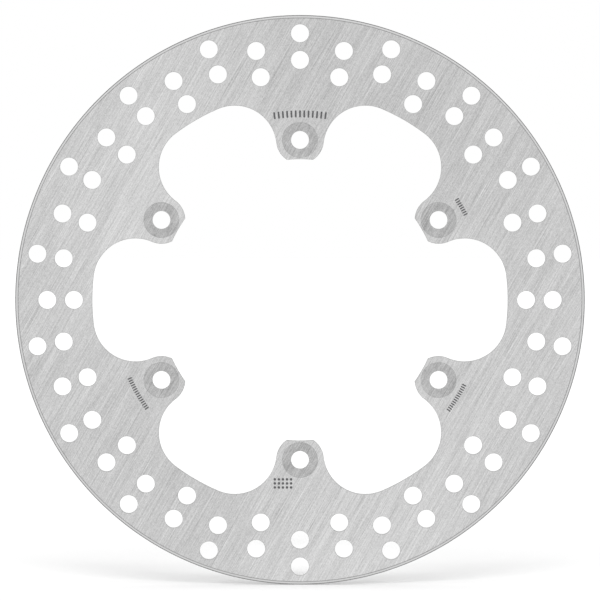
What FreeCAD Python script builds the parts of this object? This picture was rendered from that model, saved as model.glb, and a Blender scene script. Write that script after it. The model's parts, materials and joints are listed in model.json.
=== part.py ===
import FreeCAD, Part
import math
import os

# A rigid motorcycle brake disc rotor, cut from one flat plate of stainless steel.
#
# Frame: the disc stands upright on its edge and its axis is Y. The origin is where
# the axis meets the hub face, the back of the disc. The front face, where the bolt
# heads seat, looks towards -Y. +Z is up and passes through one of the six tabs.
#
# The shape is first made lying flat, hub face on z = 0 and front face on
# z = THICKNESS, and is stood up at the end. Millimetres and degrees.

# Disc
DISC_DIAMETER = 267.0
THICKNESS = 5.0
RIM_CHAMFER_WIDTH = 1.3         # across the face, from the rim inwards
RIM_CHAMFER_DEPTH = 0.6         # along the rim, from the face

# Hub tabs and bolt holes
TAB_COUNT = 6
FIRST_TAB_ANGLE = 30.0
BOLT_CIRCLE_DIAMETER = 150.0
BOLT_HOLE_DIAMETER = 8.4        # clearance for an M8 bolt
SPOT_FACE_DIAMETER = 16.6       # shallow seat under each bolt head
SPOT_FACE_DEPTH = 0.2
PILOT_DIAMETER = 132.0          # circle of the tab ends, which centres the disc on the hub
TAB_NOSE_RADIUS = 11.15         # round each bolt hole

# Window between the tabs: six lobes
LOBE_CIRCLE_DIAMETER = 194.8    # circle of the lobe tops, where the braking band begins
LOBE_CORNER_RADIUS = 19.7

# Vent holes: circle diameter and the angle of the first hole on it
VENT_HOLE_DIAMETER = 8.5
VENT_HOLES_PER_CIRCLE = 18
VENT_CIRCLES = (
    (212.0, 0.0),
    (225.0, 10.0),
    (237.0, 0.0),
    (250.0, 10.0),
)

EDGE_BREAK = 0.2                # small chamfer on the edges of the window and the holes
CUT_MARGIN = 1.0                # how far a cutting tool runs past the plate

# Worked out
DISC_RADIUS = DISC_DIAMETER / 2
BOLT_CIRCLE_RADIUS = BOLT_CIRCLE_DIAMETER / 2
PILOT_RADIUS = PILOT_DIAMETER / 2
LOBE_RADIUS = LOBE_CIRCLE_DIAMETER / 2
CORNER_CENTRE_RADIUS = LOBE_RADIUS - LOBE_CORNER_RADIUS
TAB_PITCH = 360.0 / TAB_COUNT

FLAT_AXIS = FreeCAD.Vector(0, 0, 1)
CENTRE = FreeCAD.Vector(0, 0, 0)


def polar(radius, degrees):
    angle = math.radians(degrees)
    return FreeCAD.Vector(radius * math.cos(angle), radius * math.sin(angle), 0)


def angle_opposite(far_side, side_a, side_b):
    """The angle of a triangle between side_a and side_b, by the law of cosines."""
    cosine = (side_a ** 2 + side_b ** 2 - far_side ** 2) / (2 * side_a * side_b)
    return math.degrees(math.acos(cosine))


def short_arc(start, end, centre):
    """The edge from start to end round centre, the short way."""
    radius = (start - centre).Length
    middle = (start + end) * 0.5 - centre
    middle.normalize()
    return Part.Arc(start, centre + middle * radius, end).toShape()


def turned(outline):
    """A solid of revolution about the flat disc's axis, from (radius, height) points."""
    points = [FreeCAD.Vector(radius, 0, height) for radius, height in outline]
    face = Part.Face(Part.makePolygon(points + [points[0]]))
    return face.revolve(CENTRE, FLAT_AXIS, 360)


def plate():
    """The round plate with its chamfered rim."""
    inner = DISC_RADIUS - RIM_CHAMFER_WIDTH
    return turned([
        (0, 0),
        (inner, 0),
        (DISC_RADIUS, RIM_CHAMFER_DEPTH),
        (DISC_RADIUS, THICKNESS - RIM_CHAMFER_DEPTH),
        (inner, THICKNESS),
        (0, THICKNESS),
    ])


def tab_edges(tab_angle):
    """The window's outline round one tab, anticlockwise: corner, nose, end, nose, corner."""
    corner_turn = angle_opposite(
        TAB_NOSE_RADIUS + LOBE_CORNER_RADIUS, BOLT_CIRCLE_RADIUS, CORNER_CENTRE_RADIUS)
    end_turn = angle_opposite(TAB_NOSE_RADIUS, PILOT_RADIUS, BOLT_CIRCLE_RADIUS)
    nose_share = TAB_NOSE_RADIUS / (TAB_NOSE_RADIUS + LOBE_CORNER_RADIUS)
    bolt = polar(BOLT_CIRCLE_RADIUS, tab_angle)

    def side(sign):
        """Lobe tangent point, nose tangent point, tab end corner and corner centre."""
        corner_centre = polar(CORNER_CENTRE_RADIUS, tab_angle + sign * corner_turn)
        return (
            polar(LOBE_RADIUS, tab_angle + sign * corner_turn),
            bolt + (corner_centre - bolt) * nose_share,
            polar(PILOT_RADIUS, tab_angle + sign * end_turn),
            corner_centre,
        )

    lobe_in, nose_in, end_in, centre_in = side(-1)
    lobe_out, nose_out, end_out, centre_out = side(+1)
    return [
        short_arc(lobe_in, nose_in, centre_in),
        short_arc(nose_in, end_in, bolt),
        short_arc(end_in, end_out, CENTRE),
        short_arc(end_out, nose_out, bolt),
        short_arc(nose_out, lobe_out, centre_out),
    ]


def window():
    """The six-lobed opening in the middle, as a cutting tool."""
    tabs = [tab_edges(FIRST_TAB_ANGLE + TAB_PITCH * number) for number in range(TAB_COUNT)]
    edges = []
    for number, tab in enumerate(tabs):
        following_tab = tabs[(number + 1) % TAB_COUNT]
        lobe_start = tab[-1].lastVertex(True).Point
        lobe_end = following_tab[0].firstVertex(True).Point
        edges += tab
        edges.append(short_arc(lobe_start, lobe_end, CENTRE))
    face = Part.Face(Part.Wire(edges))
    face.translate(FLAT_AXIS * -CUT_MARGIN)
    return face.extrude(FLAT_AXIS * (THICKNESS + 2 * CUT_MARGIN))


def is_window_rim(edge):
    """True for an edge of the window that runs along the front or the hub face."""
    start = edge.firstVertex().Point
    end = edge.lastVertex().Point
    inside_the_band = math.hypot(start.x, start.y) < (LOBE_RADIUS + DISC_RADIUS) / 2
    return inside_the_band and abs(end.z - start.z) < THICKNESS / 2


def opened_plate():
    """The plate with the window cut out and the window's edges broken."""
    opened = plate().cut(window())
    rims = [edge for edge in opened.Edges if is_window_rim(edge)]
    return opened.makeChamfer(EDGE_BREAK, rims)


def hole(diameter, top):
    """A drill from below the plate to just past top, with both its edges broken."""
    radius = diameter / 2
    flare = radius + EDGE_BREAK + CUT_MARGIN
    return turned([
        (0, -CUT_MARGIN),
        (flare, -CUT_MARGIN),
        (radius, EDGE_BREAK),
        (radius, top - EDGE_BREAK),
        (flare, top + CUT_MARGIN),
        (0, top + CUT_MARGIN),
    ])


def vent_holes():
    tool = hole(VENT_HOLE_DIAMETER, THICKNESS)
    step = 360.0 / VENT_HOLES_PER_CIRCLE
    for circle_diameter, first_angle in VENT_CIRCLES:
        for number in range(VENT_HOLES_PER_CIRCLE):
            copy = tool.copy()
            copy.translate(polar(circle_diameter / 2, first_angle + step * number))
            yield copy


def bolt_holes():
    """Each bolt hole, with the shallow round seat for the bolt head on the front."""
    seat_level = THICKNESS - SPOT_FACE_DEPTH
    drill = hole(BOLT_HOLE_DIAMETER, seat_level)
    seat = Part.makeCylinder(SPOT_FACE_DIAMETER / 2, CUT_MARGIN, FLAT_AXIS * seat_level)
    tool = drill.fuse(seat)
    for number in range(TAB_COUNT):
        copy = tool.copy()
        copy.translate(polar(BOLT_CIRCLE_RADIUS, FIRST_TAB_ANGLE + TAB_PITCH * number))
        yield copy


def rotor_disc():
    flat = opened_plate().cut(list(vent_holes()) + list(bolt_holes()))
    standing = flat.Solids[0]
    standing.rotate(CENTRE, FreeCAD.Vector(1, 0, 0), 90)
    return standing


PIECES = {
    "rotor_disc": rotor_disc,
}

os.makedirs("parts", exist_ok=True)
for node_name, make_piece in PIECES.items():
    piece = make_piece()
    piece.exportStep(os.path.join("parts", node_name + ".step"))
    box = piece.BoundBox
    print(
        f"{node_name}: valid {piece.isValid()}, {len(piece.Faces)} faces, "
        f"{piece.Volume / 1000:.2f} cm3, x {box.XMin:.3f} to {box.XMax:.3f}, "
        f"y {box.YMin:.3f} to {box.YMax:.3f}, z {box.ZMin:.3f} to {box.ZMax:.3f}"
    )
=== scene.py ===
import json
import math
import bmesh
import bpy
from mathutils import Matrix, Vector


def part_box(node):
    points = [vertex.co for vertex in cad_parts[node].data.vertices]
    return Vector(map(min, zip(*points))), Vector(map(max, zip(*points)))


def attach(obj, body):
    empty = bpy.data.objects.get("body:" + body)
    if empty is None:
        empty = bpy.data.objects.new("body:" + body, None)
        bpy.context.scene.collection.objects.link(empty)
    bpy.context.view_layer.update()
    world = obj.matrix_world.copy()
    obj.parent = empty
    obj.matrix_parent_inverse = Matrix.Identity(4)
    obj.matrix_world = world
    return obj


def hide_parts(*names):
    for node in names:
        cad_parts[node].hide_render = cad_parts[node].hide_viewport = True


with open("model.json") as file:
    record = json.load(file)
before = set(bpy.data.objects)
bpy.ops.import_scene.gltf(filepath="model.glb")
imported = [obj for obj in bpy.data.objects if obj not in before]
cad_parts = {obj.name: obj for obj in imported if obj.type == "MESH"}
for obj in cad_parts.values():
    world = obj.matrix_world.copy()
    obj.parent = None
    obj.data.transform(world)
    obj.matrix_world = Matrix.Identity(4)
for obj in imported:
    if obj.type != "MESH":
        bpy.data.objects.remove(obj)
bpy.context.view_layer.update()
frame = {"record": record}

# A rigid motorcycle brake disc rotor standing on its edge. The disc's axis is Y, its
# front face looks towards -Y, and +Z is up. Metres, apart from values named in
# degrees; MM turns millimetres into metres.
MM = 0.001
MOUNTS = {mount["name"]: mount for mount in frame["record"]["mounts"]}
HUB_BOLTS = MOUNTS["hub_bolts"]["dims"]
DISC_LOW, DISC_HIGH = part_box("rotor_disc")

# Disc
DISC_RADIUS = 133.5 * MM
FRONT_Y = DISC_LOW[1]
THICKNESS = DISC_HIGH[1] - DISC_LOW[1]
RIM_CHAMFER_WIDTH = 1.3 * MM
RIM_CHAMFER_DEPTH = 0.6 * MM
RIM_LINE_WIDTH = 0.37 * MM      # fine scored line where the chamfer begins
RIM_LINE_DEPTH = 0.15 * MM

# Hub tabs and bolt holes
TAB_COUNT = HUB_BOLTS["count"]
TAB_PITCH = 360.0 / TAB_COUNT
FIRST_TAB_ANGLE = 30.0
BOLT_CIRCLE_RADIUS = HUB_BOLTS["pcd_mm"] / 2 * MM
BOLT_HOLE_RADIUS = HUB_BOLTS["hole_r_mm"] * MM
SPOT_FACE_RADIUS = 8.3 * MM
SPOT_FACE_DEPTH = 0.2 * MM
PILOT_RADIUS = MOUNTS["hub_pilot"]["dims"]["r_mm"] * MM
TAB_NOSE_RADIUS = 11.15 * MM

# Window between the tabs
LOBE_RADIUS = 97.4 * MM
LOBE_CORNER_RADIUS = 19.7 * MM

# Vent holes: circle radius and the angle of the first hole on it
VENT_HOLE_RADIUS = 4.25 * MM
VENT_HOLES_PER_CIRCLE = 18
VENT_CIRCLES = (
    (106.0 * MM, 0.0),
    (112.5 * MM, 10.0),
    (118.5 * MM, 0.0),
    (125.0 * MM, 10.0),
)

# Laser marks on the front face. A row of plain bars stands across a circle about the
# disc's axis: the circle's radius, the angle of the row's middle, the number of bars,
# their spacing, height and width. A grid of dots stands at one place.
BAR_ROWS = (
    (87.2 * MM, 90.0, 13, 2.0 * MM, 3.4 * MM, 0.84 * MM),
    (87.3 * MM, 30.0, 8, 1.15 * MM, 2.2 * MM, 0.62 * MM),
    (86.7 * MM, -32.0, 13, 1.15 * MM, 2.2 * MM, 0.62 * MM),
    (87.9 * MM, 210.0, 15, 1.15 * MM, 2.2 * MM, 0.62 * MM),
)
DOT_GRID_CENTRE = (-8.0 * MM, -86.0 * MM)
DOT_GRID_COLUMNS = 5
DOT_GRID_ROWS = 3
DOT_GRID_SPACING = 1.9 * MM
DOT_RADIUS = 0.62 * MM
MARK_DEPTH = 0.05 * MM

# Edges
EDGE_ROUNDING = 0.16 * MM       # on the holes and the window
RIM_ROUNDING = 0.42 * MM        # where the chamfer meets the rim's wall
SEAT_ROUNDING = 0.06 * MM       # on the edge of each bolt head's seat
ROUNDING_STEPS = 4
SHARP_ANGLE = math.radians(35)

# How finely round shapes are divided
RIM_SEGMENTS = 480
HOLE_SEGMENTS = 48
CORNER_SEGMENTS = 40
NOSE_SEGMENTS = 16
TAB_END_SEGMENTS = 8
LOBE_SEGMENTS = 12
DOT_SEGMENTS = 16
BAR_END_SEGMENTS = 6

# Bare metal: how much light it reflects, how rough it is and how deep its fine marks are
FACE_REFLECTANCE = 0.590
FACE_ROUGHNESS = 0.40
SEAT_REFLECTANCE = 0.452
SEAT_ROUGHNESS = 0.38
CUT_REFLECTANCE = 0.46
CUT_ROUGHNESS = 0.38
# The chamfer and the rim's wall are one turned metal. The chamfer's higher value is painted light that
# makes it a bright band, and the wall's lower value is painted shade that draws the dark line along the
# disc's edge.
CHAMFER_PAINTED_LIGHT_REFLECTANCE = 0.685
RIM_WALL_PAINTED_SHADE_REFLECTANCE = 0.36
TURNED_ROUGHNESS = 0.30
GROUND_RELIEF = 0.006 * MM
CUT_RELIEF = 0.02 * MM
TURNED_RELIEF = 0.01 * MM
GRAIN_ANGLE = math.radians(60)  # of the grinding scratches, from +X towards +Z
SEAT_CONTRAST = 1.30            # of the scratches on the darker seats, against the face

# The laser's dark oxide
OXIDE_COLOUR = (0.05, 0.05, 0.052, 1)
OXIDE_ROUGHNESS = 0.60
OXIDE_RELIEF = 0.02 * MM

# Material slots of the disc's mesh
GROUND_FACE, BOLT_SEAT, CUT_WALL, CHAMFER, RIM_WALL, LASER_MARK = range(6)


# ---------------------------------------------------------------- outlines

def polar(radius, degrees, centre=(0.0, 0.0)):
    """The point at a radius and an angle round centre in the disc's plane, as (x, z)."""
    angle = math.radians(degrees)
    return Vector((centre[0] + radius * math.cos(angle), centre[1] + radius * math.sin(angle)))


def circle(radius, centre=(0.0, 0.0), segments=HOLE_SEGMENTS):
    """Points once round a circle."""
    return [polar(radius, 360.0 * number / segments, centre) for number in range(segments)]


def short_arc(start, end, centre, segments):
    """Points from start to just before end round centre, the short way."""
    first = start - centre
    sweep = -first.angle_signed(end - centre)
    base = math.atan2(first.y, first.x)
    points = []
    for step in range(segments):
        angle = base + sweep * step / segments
        points.append(centre + Vector((math.cos(angle), math.sin(angle))) * first.length)
    return points


def angle_opposite(far_side, side_a, side_b):
    """The angle in degrees between side_a and side_b of a triangle."""
    cosine = (side_a ** 2 + side_b ** 2 - far_side ** 2) / (2 * side_a * side_b)
    return math.degrees(math.acos(cosine))


def window_outline(inset):
    """The six-lobed opening, moved inset into the metal all round, anticlockwise."""
    corner_centre_radius = LOBE_RADIUS - LOBE_CORNER_RADIUS
    centre_distance = TAB_NOSE_RADIUS + LOBE_CORNER_RADIUS
    lobe = LOBE_RADIUS + inset
    nose = TAB_NOSE_RADIUS - inset
    pilot = PILOT_RADIUS + inset
    corner_turn = angle_opposite(centre_distance, BOLT_CIRCLE_RADIUS, corner_centre_radius)
    end_turn = angle_opposite(nose, pilot, BOLT_CIRCLE_RADIUS)
    middle = Vector((0, 0))
    points = []
    for number in range(TAB_COUNT):
        tab = FIRST_TAB_ANGLE + TAB_PITCH * number
        bolt = polar(BOLT_CIRCLE_RADIUS, tab)
        sides = []
        for sign in (-1, 1):
            corner_centre = polar(corner_centre_radius, tab + sign * corner_turn)
            tangent_point = bolt + (corner_centre - bolt) * (nose / centre_distance)
            end_point = polar(pilot, tab + sign * end_turn)
            lobe_point = polar(lobe, tab + sign * corner_turn)
            sides.append((lobe_point, tangent_point, end_point, corner_centre))
        (lobe_in, nose_in, end_in, centre_in), (lobe_out, nose_out, end_out, centre_out) = sides
        next_lobe_in = polar(lobe, tab + TAB_PITCH - corner_turn)
        points += short_arc(lobe_in, nose_in, centre_in, CORNER_SEGMENTS)
        points += short_arc(nose_in, end_in, bolt, NOSE_SEGMENTS)
        points += short_arc(end_in, end_out, middle, TAB_END_SEGMENTS)
        points += short_arc(end_out, nose_out, bolt, NOSE_SEGMENTS)
        points += short_arc(nose_out, lobe_out, centre_out, CORNER_SEGMENTS)
        points += short_arc(lobe_out, next_lobe_in, middle, LOBE_SEGMENTS)
    return points


def bar(centre, degrees, height, width):
    """A bar with round ends. Its long side points along degrees."""
    radius = width / 2
    reach = height / 2 - radius
    points = []
    for end in (0, 180):
        end_centre = polar(reach, degrees + end, centre)
        for step in range(BAR_END_SEGMENTS + 1):
            turn = degrees + end - 90 + 180 * step / BAR_END_SEGMENTS
            points.append(polar(radius, turn, end_centre))
    return points


def laser_marks():
    """The outline of every bar and dot."""
    for radius, middle, count, spacing, height, width in BAR_ROWS:
        step = math.degrees(spacing / radius)
        for number in range(count):
            angle = middle + step * (number - (count - 1) / 2)
            yield bar(polar(radius, angle), angle, height, width)
    for column in range(DOT_GRID_COLUMNS):
        for row in range(DOT_GRID_ROWS):
            place = Vector(DOT_GRID_CENTRE) + DOT_GRID_SPACING * Vector((
                column - (DOT_GRID_COLUMNS - 1) / 2, row - (DOT_GRID_ROWS - 1) / 2))
            yield circle(DOT_RADIUS, place, DOT_SEGMENTS)


# ---------------------------------------------------------------- edge profiles

def rounded(before, corner, after, reach):
    """Points that round off a corner, starting and ending reach away from it."""
    corner = Vector(corner)
    start = corner + (Vector(before) - corner).normalized() * reach
    end = corner + (Vector(after) - corner).normalized() * reach
    points = []
    for step in range(ROUNDING_STEPS + 1):
        t = step / ROUNDING_STEPS
        points.append(start * (1 - t) ** 2 + corner * 2 * t * (1 - t) + end * t ** 2)
    return points


def softened(corners, reach):
    """A line of (inset, depth) points with its inner corners rounded off within reach."""
    line = []
    for before, corner, after in zip(corners, corners[1:], corners[2:]):
        line += rounded(before, corner, after, reach)
    return line


def through_edge(top=0.0):
    """From the face at depth top down a plain hole's wall to the hub face."""
    return softened([
        (EDGE_ROUNDING * 2, top),
        (0, top),
        (0, THICKNESS),
        (EDGE_ROUNDING * 2, THICKNESS),
    ], EDGE_ROUNDING)


def on_hub_side(points):
    """The same points seen from the hub face, in the opposite order."""
    return [(inset, THICKNESS - depth) for inset, depth in reversed(points)]


def rim_bands():
    """The rim from face to face: a scored line, the chamfer, the rounded wall, chamfer and line again."""
    half_line = RIM_LINE_WIDTH / 2
    line = [
        (RIM_CHAMFER_WIDTH + half_line, 0),
        (RIM_CHAMFER_WIDTH, RIM_LINE_DEPTH),
        (RIM_CHAMFER_WIDTH - half_line, half_line * RIM_CHAMFER_DEPTH / RIM_CHAMFER_WIDTH),
    ]
    corner = rounded((RIM_CHAMFER_WIDTH, 0), (0, RIM_CHAMFER_DEPTH), (0, THICKNESS), RIM_ROUNDING)
    return [
        (line, CUT_WALL),
        (corner[:1], CHAMFER),
        (corner[1:] + on_hub_side(corner), RIM_WALL),
        (on_hub_side(line)[:1], CHAMFER),
        (on_hub_side(line)[1:], CUT_WALL),
    ]


def seat_edge():
    """From the front face down to the bolt head's seat, ending on its floor."""
    seat = SPOT_FACE_RADIUS - BOLT_HOLE_RADIUS
    return softened([
        (seat * 2, 0),
        (seat, 0),
        (seat, SPOT_FACE_DEPTH),
        (0, SPOT_FACE_DEPTH),
    ], SEAT_ROUNDING)


# ---------------------------------------------------------------- the disc's mesh

def add_ring(bm, outline, depth):
    """Vertices along an outline, depth below the front face."""
    return [bm.verts.new((x, FRONT_Y + depth, z)) for x, z in outline]


def join_rings(bm, upper, lower, slot):
    """A smooth strip of faces between two rings with the same number of vertices."""
    for number in range(len(upper)):
        following = (number + 1) % len(upper)
        face = bm.faces.new((upper[number], upper[following], lower[following], lower[number]))
        face.material_index = slot
        face.smooth = True


def add_wall(bm, outline, bands):
    """A wall all along an outline, through (inset, depth) points. Gives its first and last ring.

    Each band is its points, and the material slot of the strips that lead to them.
    """
    rings = []
    for points, slot in bands:
        for inset, depth in points:
            rings.append(add_ring(bm, outline(inset), depth))
            if len(rings) > 1:
                join_rings(bm, rings[-2], rings[-1], slot)
    return rings[0], rings[-1]


def add_pocket(bm, outline):
    """The shallow pocket that the laser leaves. Gives its ring on the front face."""
    rim = add_ring(bm, outline, 0.0)
    floor = add_ring(bm, outline, MARK_DEPTH)
    join_rings(bm, rim, floor, LASER_MARK)
    bm.faces.new(floor).material_index = LASER_MARK
    return rim


def add_flat_face(bm, rings):
    """One flat ground face between all the given rings."""
    border = []
    for ring in rings:
        for number, vert in enumerate(ring):
            border.append(bm.edges.get((vert, ring[(number + 1) % len(ring)])))
    filled = bmesh.ops.triangle_fill(bm, use_beauty=True, use_dissolve=False, edges=border)
    for item in filled["geom"]:
        if isinstance(item, bmesh.types.BMFace):
            item.material_index = GROUND_FACE


def mark_sharp_edges(bm):
    """Shading breaks where the surface turns sharply or meets a flat face."""
    for edge in bm.edges:
        meets_flat = not all(face.smooth for face in edge.link_faces)
        edge.smooth = not meets_flat and edge.calc_face_angle() < SHARP_ANGLE


def hole_outline(radius, centre):
    return lambda inset: circle(radius + inset, centre)


def disc_mesh():
    bm = bmesh.new()
    front = []
    back = []

    def through(outline, bands):
        first, last = add_wall(bm, outline, bands)
        front.append(first)
        back.append(last)

    through(lambda inset: circle(DISC_RADIUS - inset, segments=RIM_SEGMENTS), rim_bands())
    through(window_outline, [(through_edge(), CUT_WALL)])
    for circle_radius, first_angle in VENT_CIRCLES:
        for number in range(VENT_HOLES_PER_CIRCLE):
            place = polar(circle_radius, first_angle + 360.0 * number / VENT_HOLES_PER_CIRCLE)
            through(hole_outline(VENT_HOLE_RADIUS, place), [(through_edge(), CUT_WALL)])
    for number in range(TAB_COUNT):
        outline = hole_outline(
            BOLT_HOLE_RADIUS, polar(BOLT_CIRCLE_RADIUS, FIRST_TAB_ANGLE + TAB_PITCH * number))
        seat_rim, seat_floor = add_wall(bm, outline, [(seat_edge(), CUT_WALL)])
        hole_top, hole_bottom = add_wall(bm, outline, [(through_edge(SPOT_FACE_DEPTH), CUT_WALL)])
        join_rings(bm, seat_floor, hole_top, BOLT_SEAT)
        front.append(seat_rim)
        back.append(hole_bottom)
    front += [add_pocket(bm, outline) for outline in laser_marks()]

    add_flat_face(bm, front)
    add_flat_face(bm, back)
    bmesh.ops.recalc_face_normals(bm, faces=bm.faces)
    mark_sharp_edges(bm)
    mesh = bpy.data.meshes.new("rotor_disc_ground")
    bm.to_mesh(mesh)
    bm.free()
    return mesh


# ---------------------------------------------------------------- materials

def add_node(tree, kind, inputs=(), **settings):
    """A new node. inputs maps a socket's name or number to a value or to another node's output."""
    made = tree.nodes.new(kind)
    for name, value in settings.items():
        setattr(made, name, value)
    for name, value in dict(inputs).items():
        if isinstance(value, bpy.types.NodeSocket):
            tree.links.new(value, made.inputs[name])
        else:
            made.inputs[name].default_value = value
    return made


def maths(tree, operation, first, second=0.0):
    return add_node(tree, "ShaderNodeMath", {0: first, 1: second}, operation=operation).outputs[0]


def object_space(tree):
    return add_node(tree, "ShaderNodeTexCoord").outputs["Object"]


def grain_space(tree):
    """Object coordinates turned so that X runs along the scratches and Z across them."""
    turned = add_node(tree, "ShaderNodeMapping", {
        "Vector": object_space(tree), "Rotation": (0, GRAIN_ANGLE, 0)})
    return turned.outputs[0]


def noise(tree, space, sizes, seed, detail=1.0):
    """Noise with features of the given sizes along X, Y and Z, about 0 on average."""
    scaled = add_node(tree, "ShaderNodeVectorMath", {
        0: space, 1: [1 / size for size in sizes]}, operation="MULTIPLY")
    moved = add_node(tree, "ShaderNodeVectorMath", {
        0: scaled.outputs[0], 1: (seed, seed, seed)}, operation="ADD")
    texture = add_node(tree, "ShaderNodeTexNoise", {
        "Vector": moved.outputs[0], "Scale": 1.0, "Detail": detail, "Roughness": 0.6})
    return maths(tree, "SUBTRACT", texture.outputs[0], 0.5)


def streaks(tree, length, width, seed):
    """Noise drawn out along the scratches."""
    return noise(tree, grain_space(tree), sizes=(length, length, width), seed=seed)


def weighted_sum(tree, start, terms):
    """start plus each output times its weight."""
    total = start
    for output, weight in terms:
        total = maths(tree, "ADD", maths(tree, "MULTIPLY", output, weight), total)
    return total


def new_material(name):
    material = bpy.data.materials.new(name)
    material.use_nodes = True
    tree = material.node_tree
    return material, tree, tree.nodes["Principled BSDF"]


def add_relief(tree, shader, height, relief):
    """Small bumps. The surface rises by relief where height rises by 1."""
    bump = add_node(tree, "ShaderNodeBump", {"Height": height, "Strength": 1.0, "Distance": relief})
    tree.links.new(bump.outputs[0], shader.inputs["Normal"])


def finish_metal(tree, shader, grey, rough, height, relief):
    """Bare metal: its reflectance, roughness and a surface height of the given relief."""
    colour = add_node(tree, "ShaderNodeCombineColor", {0: grey, 1: grey, 2: grey})
    tree.links.new(colour.outputs[0], shader.inputs["Base Color"])
    tree.links.new(rough, shader.inputs["Roughness"])
    add_relief(tree, shader, height, relief)
    shader.inputs["Metallic"].default_value = 1.0


def grinding(tree):
    """The belt's straight scratches: their tone, about 1, their roughness, about 0, and their height."""
    nicks = streaks(tree, length=0.7 * MM, width=0.36 * MM, seed=23.5)
    hairlines = streaks(tree, length=25 * MM, width=0.30 * MM, seed=3.1)
    scratches = streaks(tree, length=45 * MM, width=0.8 * MM, seed=7.7)
    lines = streaks(tree, length=27 * MM, width=0.32 * MM, seed=29.6)
    deep = maths(tree, "MULTIPLY", lines, maths(tree, "ABSOLUTE", lines))
    bands = streaks(tree, length=60 * MM, width=5 * MM, seed=11.3)
    tone = weighted_sum(tree, 1.0, [
        (nicks, 0.59), (hairlines, 0.52), (deep, 2.6), (scratches, 0.18), (bands, 0.13)])
    rough = weighted_sum(tree, 0.0, [(hairlines, -0.20), (scratches, -0.10)])
    height = weighted_sum(tree, 0.5, [(nicks, 0.2), (hairlines, 0.5), (deep, 2.0), (scratches, 0.5)])
    return tone, rough, height


def ground_steel():
    """Bare stainless steel, ground with one straight pass, with a broad cloudy tone that is partly painted
    light and shade.
    """
    material, tree, shader = new_material("ground_steel")
    tone, scratch_rough, height = grinding(tree)
    # A broad cloudy tone over the face. Its seed puts its lighter and darker areas where broad light and
    # shade fall across the face: partly random tone, partly painted light and shade.
    clouds_painted_light_and_shade = streaks(tree, length=160 * MM, width=110 * MM, seed=66.8)
    light = weighted_sum(tree, tone, [(clouds_painted_light_and_shade, 0.30)])
    grey = maths(tree, "MULTIPLY", light, FACE_REFLECTANCE)
    rough = weighted_sum(tree, FACE_ROUGHNESS, [(scratch_rough, 1.0), (clouds_painted_light_and_shade, 0.10)])
    finish_metal(tree, shader, grey, rough, height, GROUND_RELIEF)
    return material


def distance_from_bolt(tree):
    """The distance of a point from the axis of the nearest bolt hole."""
    place = add_node(tree, "ShaderNodeSeparateXYZ", {0: object_space(tree)})
    x = place.outputs["X"]
    z = place.outputs["Z"]
    radius = maths(tree, "SQRT", weighted_sum(tree, maths(tree, "MULTIPLY", x, x), [(z, z)]))
    half_pitch = math.radians(TAB_PITCH / 2)
    past_first = maths(tree, "SUBTRACT", maths(tree, "ARCTAN2", z, x), math.radians(FIRST_TAB_ANGLE))
    turned = maths(tree, "ADD", past_first, half_pitch)
    within = maths(tree, "SUBTRACT", maths(tree, "FLOORED_MODULO", turned, 2 * half_pitch), half_pitch)
    along = maths(tree, "SUBTRACT", maths(tree, "MULTIPLY", radius, maths(tree, "COSINE", within)),
                  BOLT_CIRCLE_RADIUS)
    across = maths(tree, "MULTIPLY", radius, maths(tree, "SINE", within))
    squares = weighted_sum(tree, maths(tree, "MULTIPLY", along, along), [(across, across)])
    return maths(tree, "SQRT", squares)


def seat_steel():
    """The bolt head's seat: the ground face again, darker and with a turning tool's fine rings."""
    material, tree, shader = new_material("bolt_seat_steel")
    tone, scratch_rough, height = grinding(tree)
    cut = add_node(tree, "ShaderNodeCombineXYZ", {0: distance_from_bolt(tree)}).outputs[0]
    rings = noise(tree, cut, sizes=(0.5 * MM, MM, MM), seed=2.3, detail=2.0)
    patches = noise(tree, object_space(tree), sizes=(5 * MM, 5 * MM, 5 * MM), seed=8.9)
    light = weighted_sum(tree, 1 - SEAT_CONTRAST, [
        (tone, SEAT_CONTRAST), (rings, 0.22), (patches, 0.40)])
    grey = maths(tree, "MULTIPLY", light, SEAT_REFLECTANCE)
    rough = weighted_sum(tree, SEAT_ROUGHNESS, [(scratch_rough, 0.5), (rings, 0.15), (patches, 0.12)])
    finish_metal(tree, shader, grey, rough, weighted_sum(tree, height, [(rings, 1.0)]), GROUND_RELIEF)
    return material


def cut_steel():
    """The walls of the holes and the window, with the cut's fine lines from face to face."""
    material, tree, shader = new_material("cut_steel")
    lines = noise(tree, object_space(tree), sizes=(0.6 * MM, 12 * MM, 0.6 * MM), seed=5.0, detail=2.0)
    patches = noise(tree, object_space(tree), sizes=(3 * MM, 1.5 * MM, 3 * MM), seed=6.7)
    grey = weighted_sum(tree, CUT_REFLECTANCE, [(lines, 0.20), (patches, 0.10)])
    rough = weighted_sum(tree, CUT_ROUGHNESS, [(lines, 0.20), (patches, 0.15)])
    finish_metal(tree, shader, grey, rough, weighted_sum(tree, 0.5, [(lines, 1.0)]), CUT_RELIEF)
    return material


def turned_steel(name, reflectance):
    """The rim's metal, with the lathe tool's fine lines round the disc. Its given reflectance carries
    painted light on the chamfer and painted shade on the rim's wall.
    """
    material, tree, shader = new_material(name)
    lines = noise(tree, object_space(tree), sizes=(80 * MM, 0.35 * MM, 80 * MM), seed=4.4, detail=2.0)
    patches = noise(tree, object_space(tree), sizes=(9 * MM, 2 * MM, 9 * MM), seed=9.6)
    grey = weighted_sum(tree, reflectance, [(lines, 0.16), (patches, 0.08)])
    rough = weighted_sum(tree, TURNED_ROUGHNESS, [(lines, 0.20), (patches, 0.12)])
    finish_metal(tree, shader, grey, rough, weighted_sum(tree, 0.5, [(lines, 1.0)]), TURNED_RELIEF)
    return material


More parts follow.
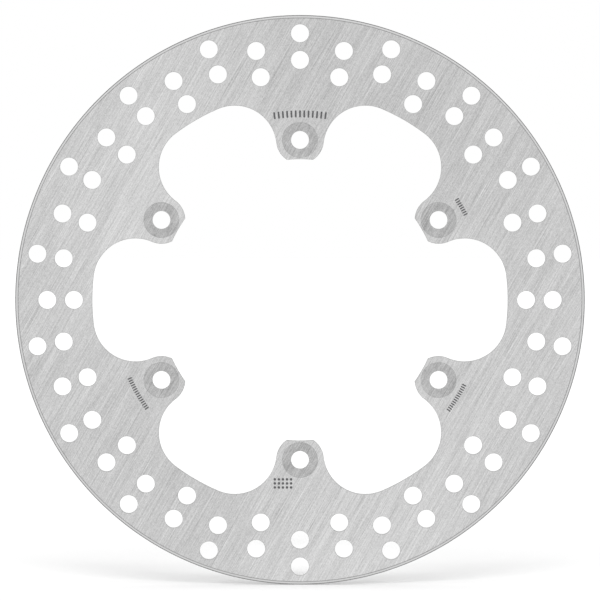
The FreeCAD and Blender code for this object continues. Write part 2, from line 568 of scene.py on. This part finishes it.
def laser_oxide():
    """The dark matt oxide in the laser marks. Its colour is one plain value, so small marks stay crisp."""
    material, tree, shader = new_material("laser_oxide")
    grains = noise(tree, object_space(tree), sizes=(0.3 * MM, 0.3 * MM, 0.3 * MM), seed=1.9, detail=2.0)
    shader.inputs["Base Color"].default_value = OXIDE_COLOUR
    rough = weighted_sum(tree, OXIDE_ROUGHNESS, [(grains, 0.30)])
    tree.links.new(rough, shader.inputs["Roughness"])
    add_relief(tree, shader, grains, OXIDE_RELIEF)
    return material


# ---------------------------------------------------------------- pieces

def add_piece(name, mesh, materials):
    piece = bpy.data.objects.new(name, mesh)
    bpy.context.scene.collection.objects.link(piece)
    for material in materials:
        mesh.materials.append(material)
    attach(piece, "root")
    return piece


disc = add_piece("rotor_disc_ground", disc_mesh(), [
    ground_steel(),
    seat_steel(),
    cut_steel(),
    # One turned metal in two tones: painted light on the chamfer, painted shade on the rim's wall.
    turned_steel("turned_chamfer_painted_light", CHAMFER_PAINTED_LIGHT_REFLECTANCE),
    turned_steel("turned_rim_painted_shade", RIM_WALL_PAINTED_SHADE_REFLECTANCE),
    laser_oxide(),
])
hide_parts("rotor_disc")


# ---------------------------------------------------------------- stage, light and camera

CAMERA_DISTANCE = 4.0
CAMERA_ELEVATION = math.radians(1)
CAMERA_REACH = 100.0            # how far it sees, well past the floor's far edge
FRAME_WIDTH = 281.20 * MM       # of the picture, at the disc's front face
SENSOR_WIDTH = 36.0             # millimetres, like the focal length worked out from it
FLOOR_Z = -DISC_RADIUS
FLOOR_HALF = 12.0
FLOOR_REFLECTANCE = 0.82
FLOOR_ROUGHNESS = 0.9
KEY_ELEVATION = math.radians(18)
KEY_ANGLE = math.radians(28)    # how wide the key light looks from the disc
KEY_STRENGTH = 3.4
FRONT_LEVEL = 1.063             # of the light that the metal mirrors from in front and behind
SIDE_LEVEL = 0.16               # and from the sides
SIDE_EDGE = 0.1                 # the share of Y in a direction where the side level ends
FRONT_EDGE = 0.6                # and where the front level begins


def plain_floor():
    """A pale floor that carries the shadow. The metal doesn't mirror it, so the rim is even all round."""
    bpy.ops.mesh.primitive_plane_add(size=2 * FLOOR_HALF, location=(0, 0, FLOOR_Z))
    floor = bpy.context.object
    floor.name = "floor"
    material, tree, shader = new_material("pale_floor")
    shader.inputs["Base Color"].default_value = (FLOOR_REFLECTANCE,) * 3 + (1,)
    shader.inputs["Roughness"].default_value = FLOOR_ROUGHNESS
    shader.inputs["Specular IOR Level"].default_value = 0.0
    floor.data.materials.append(material)
    floor.visible_glossy = False


def key_light():
    """A wide soft light, in front of the disc and above it, that the metal doesn't mirror."""
    light = bpy.data.lights.new("key_light", "SUN")
    light.energy = KEY_STRENGTH
    light.angle = KEY_ANGLE
    lamp = bpy.data.objects.new("key_light", light)
    lamp.rotation_euler = (math.pi / 2 - KEY_ELEVATION, 0, 0)
    lamp.visible_glossy = False
    bpy.context.scene.collection.objects.link(lamp)


def studio_world():
    """Plain white, which the metal mirrors bright in front and behind and dimmer at the sides."""
    world = bpy.data.worlds.new("studio")
    world.use_nodes = True
    tree = world.node_tree
    direction = add_node(tree, "ShaderNodeTexCoord").outputs["Generated"]
    along_axis = maths(
        tree, "ABSOLUTE", add_node(tree, "ShaderNodeSeparateXYZ", {0: direction}).outputs["Y"])
    mirrored = add_node(tree, "ShaderNodeMapRange", {
        "Value": along_axis, "From Min": SIDE_EDGE, "From Max": FRONT_EDGE,
        "To Min": SIDE_LEVEL, "To Max": FRONT_LEVEL}, interpolation_type="SMOOTHSTEP").outputs[0]
    to_metal = add_node(tree, "ShaderNodeLightPath").outputs["Is Glossy Ray"]
    level = weighted_sum(tree, 1.0, [(to_metal, maths(tree, "SUBTRACT", mirrored, 1.0))])
    tree.links.new(level, tree.nodes["Background"].inputs["Strength"])
    tree.nodes["Background"].inputs["Color"].default_value = (1, 1, 1, 1)
    bpy.context.scene.world = world


def front_camera():
    camera_data = bpy.data.cameras.new("front_camera")
    camera_data.sensor_width = SENSOR_WIDTH
    camera_data.lens = SENSOR_WIDTH * CAMERA_DISTANCE / FRAME_WIDTH
    camera_data.clip_end = CAMERA_REACH
    camera = bpy.data.objects.new("front_camera", camera_data)
    camera.location = (
        0,
        FRONT_Y - CAMERA_DISTANCE * math.cos(CAMERA_ELEVATION),
        CAMERA_DISTANCE * math.sin(CAMERA_ELEVATION),
    )
    camera.rotation_euler = (math.pi / 2 - CAMERA_ELEVATION, 0, 0)
    bpy.context.scene.collection.objects.link(camera)
    bpy.context.scene.camera = camera


plain_floor()
key_light()
studio_world()
front_camera()
bpy.context.scene.view_settings.view_transform = "Standard"
